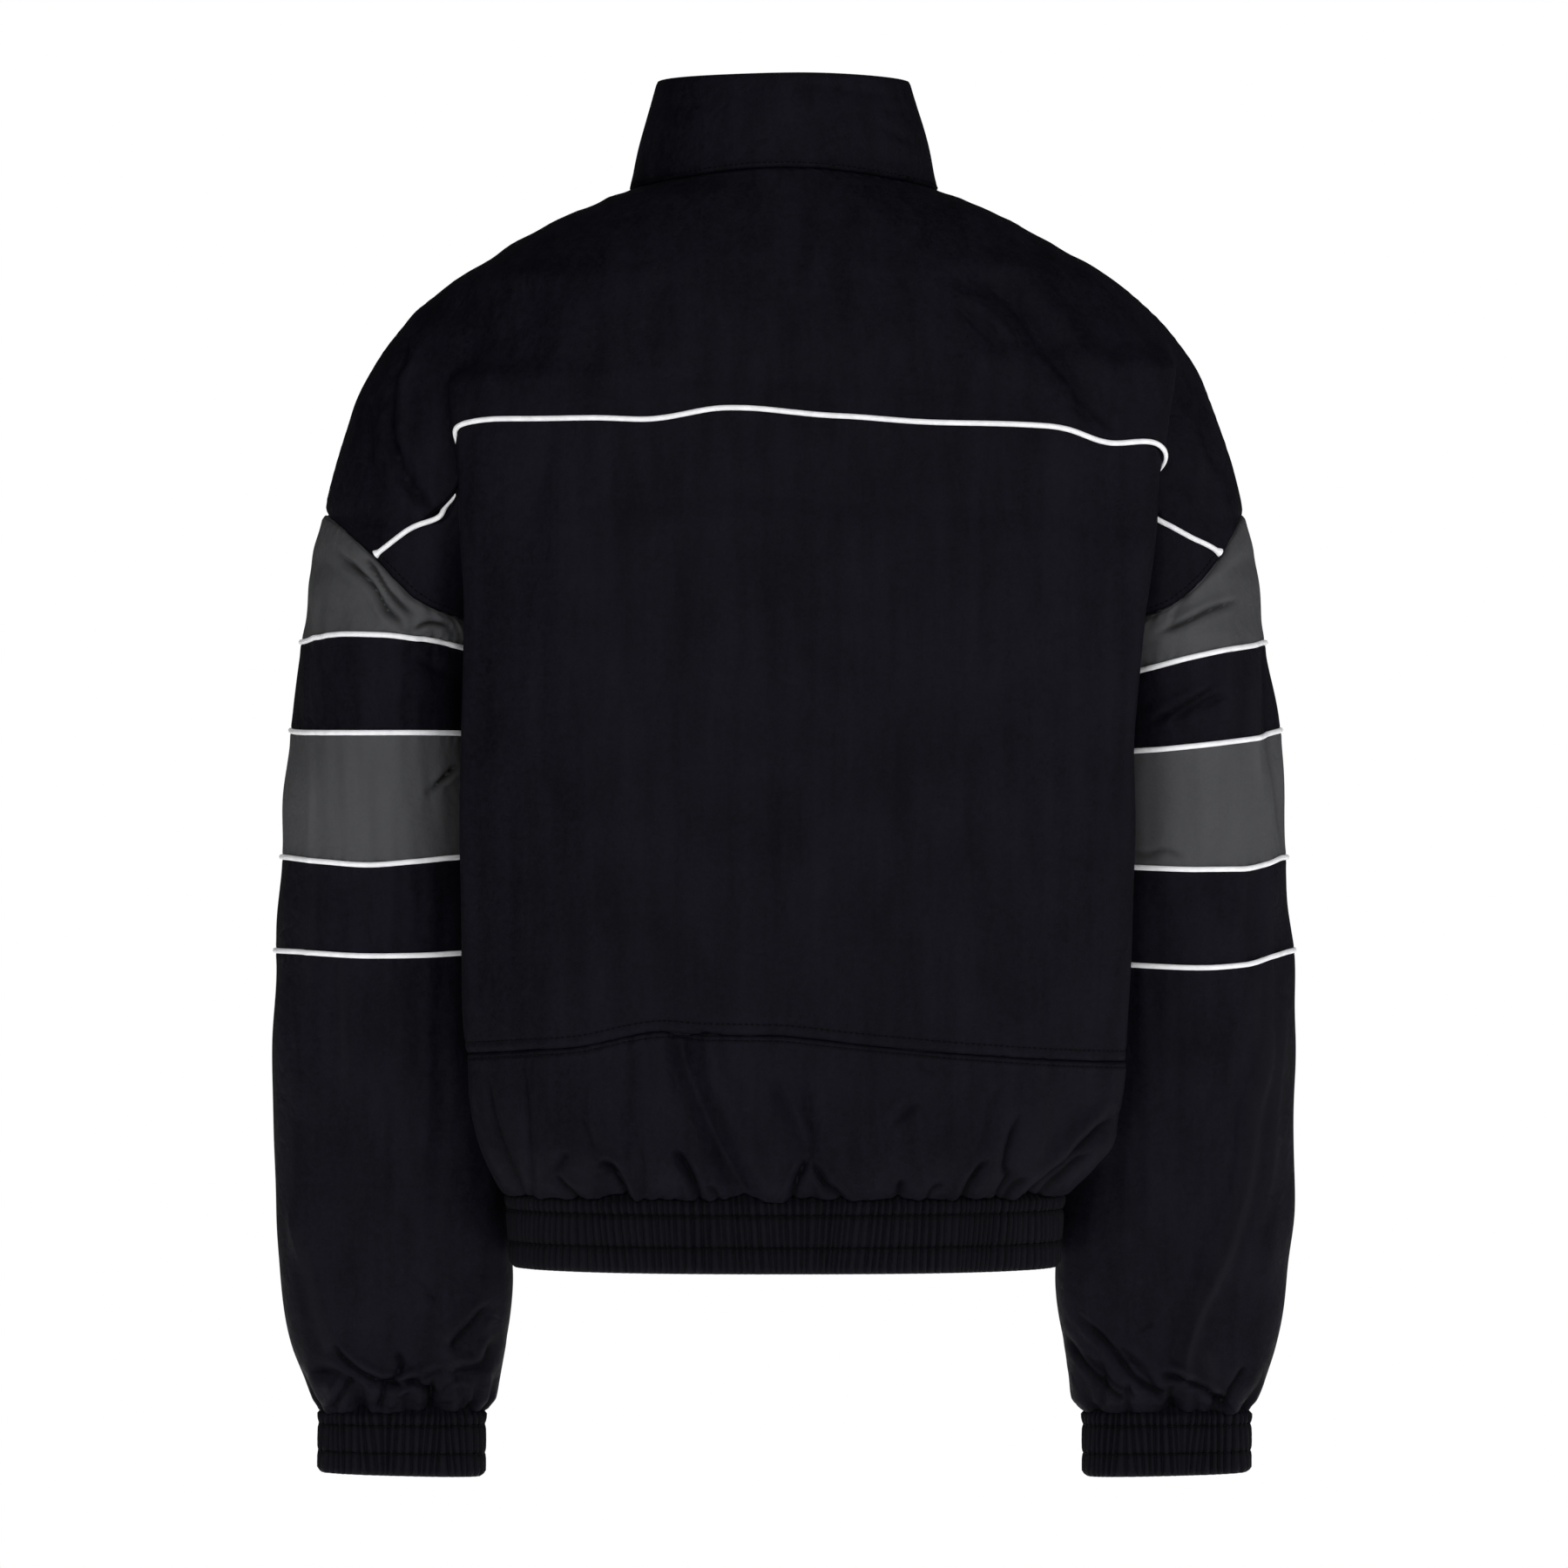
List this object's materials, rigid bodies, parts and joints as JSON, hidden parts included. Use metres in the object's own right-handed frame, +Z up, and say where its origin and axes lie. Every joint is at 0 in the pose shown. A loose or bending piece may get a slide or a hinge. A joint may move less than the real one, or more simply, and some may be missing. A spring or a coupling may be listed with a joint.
{
  "type": "bomber jacket",
  "caption": "Hollow bomber jacket filled out with no wearer: stand collar, piped drop-shoulder yoke, banded sleeves, elastic hem and cuffs, closed front zip.",
  "frame": {"origin": "middle of the neck opening, level with the side neck points, where the jacket is held", "axes": "+Z up to the collar, -Y the way the wearer faces so that +Y is the back, +X the wearer's left"},
  "size_m": [0.6142, 0.2702, 0.836],
  "materials": {
    "black_nylon": "smooth, slight sheen",
    "grey_nylon": "smooth, slight sheen",
    "black_elastic": "gathered, matt",
    "white_piping": "smooth",
    "zip_tape": "woven, matt",
    "dark_metal": "dark nickel"
  },
  "bodies": {
    "jacket": {"back_yoke": "black_nylon", "back_body": "black_nylon", "back_hem_panel": "black_nylon", "front_left": "black_nylon", "front_right": "black_nylon", "collar": "black_nylon", "sleeve_left_upper_grey": "grey_nylon", "sleeve_left_upper_black": "black_nylon", "sleeve_left_middle_grey": "grey_nylon", "sleeve_left_middle_black": "black_nylon", "sleeve_left_lower": "black_nylon", "sleeve_right_upper_grey": "grey_nylon", "sleeve_right_upper_black": "black_nylon", "sleeve_right_middle_grey": "grey_nylon", "sleeve_right_middle_black": "black_nylon", "sleeve_right_lower": "black_nylon", "hem_band": "black_elastic", "cuff_left": "black_elastic", "cuff_right": "black_elastic", "yoke_piping": "white_piping", "piping_left_1": "white_piping", "piping_left_2": "white_piping", "piping_left_3": "white_piping", "piping_left_4": "white_piping", "piping_right_1": "white_piping", "piping_right_2": "white_piping", "piping_right_3": "white_piping", "piping_right_4": "white_piping", "zip_tape_left": "zip_tape", "zip_tape_right": "zip_tape", "zip_chain": "dark_metal", "zip_slider": "dark_metal"},
    "pull": {"zip_pull": "dark_metal"}
  },
  "joints": [
    {"name": "pull_swing", "type": "hinge", "parent": "jacket", "child": "pull", "pos_m": [0, -0.07279, 0.05132], "axis": [-1, 0, 0], "range_deg": [0, 170]}
  ]
}
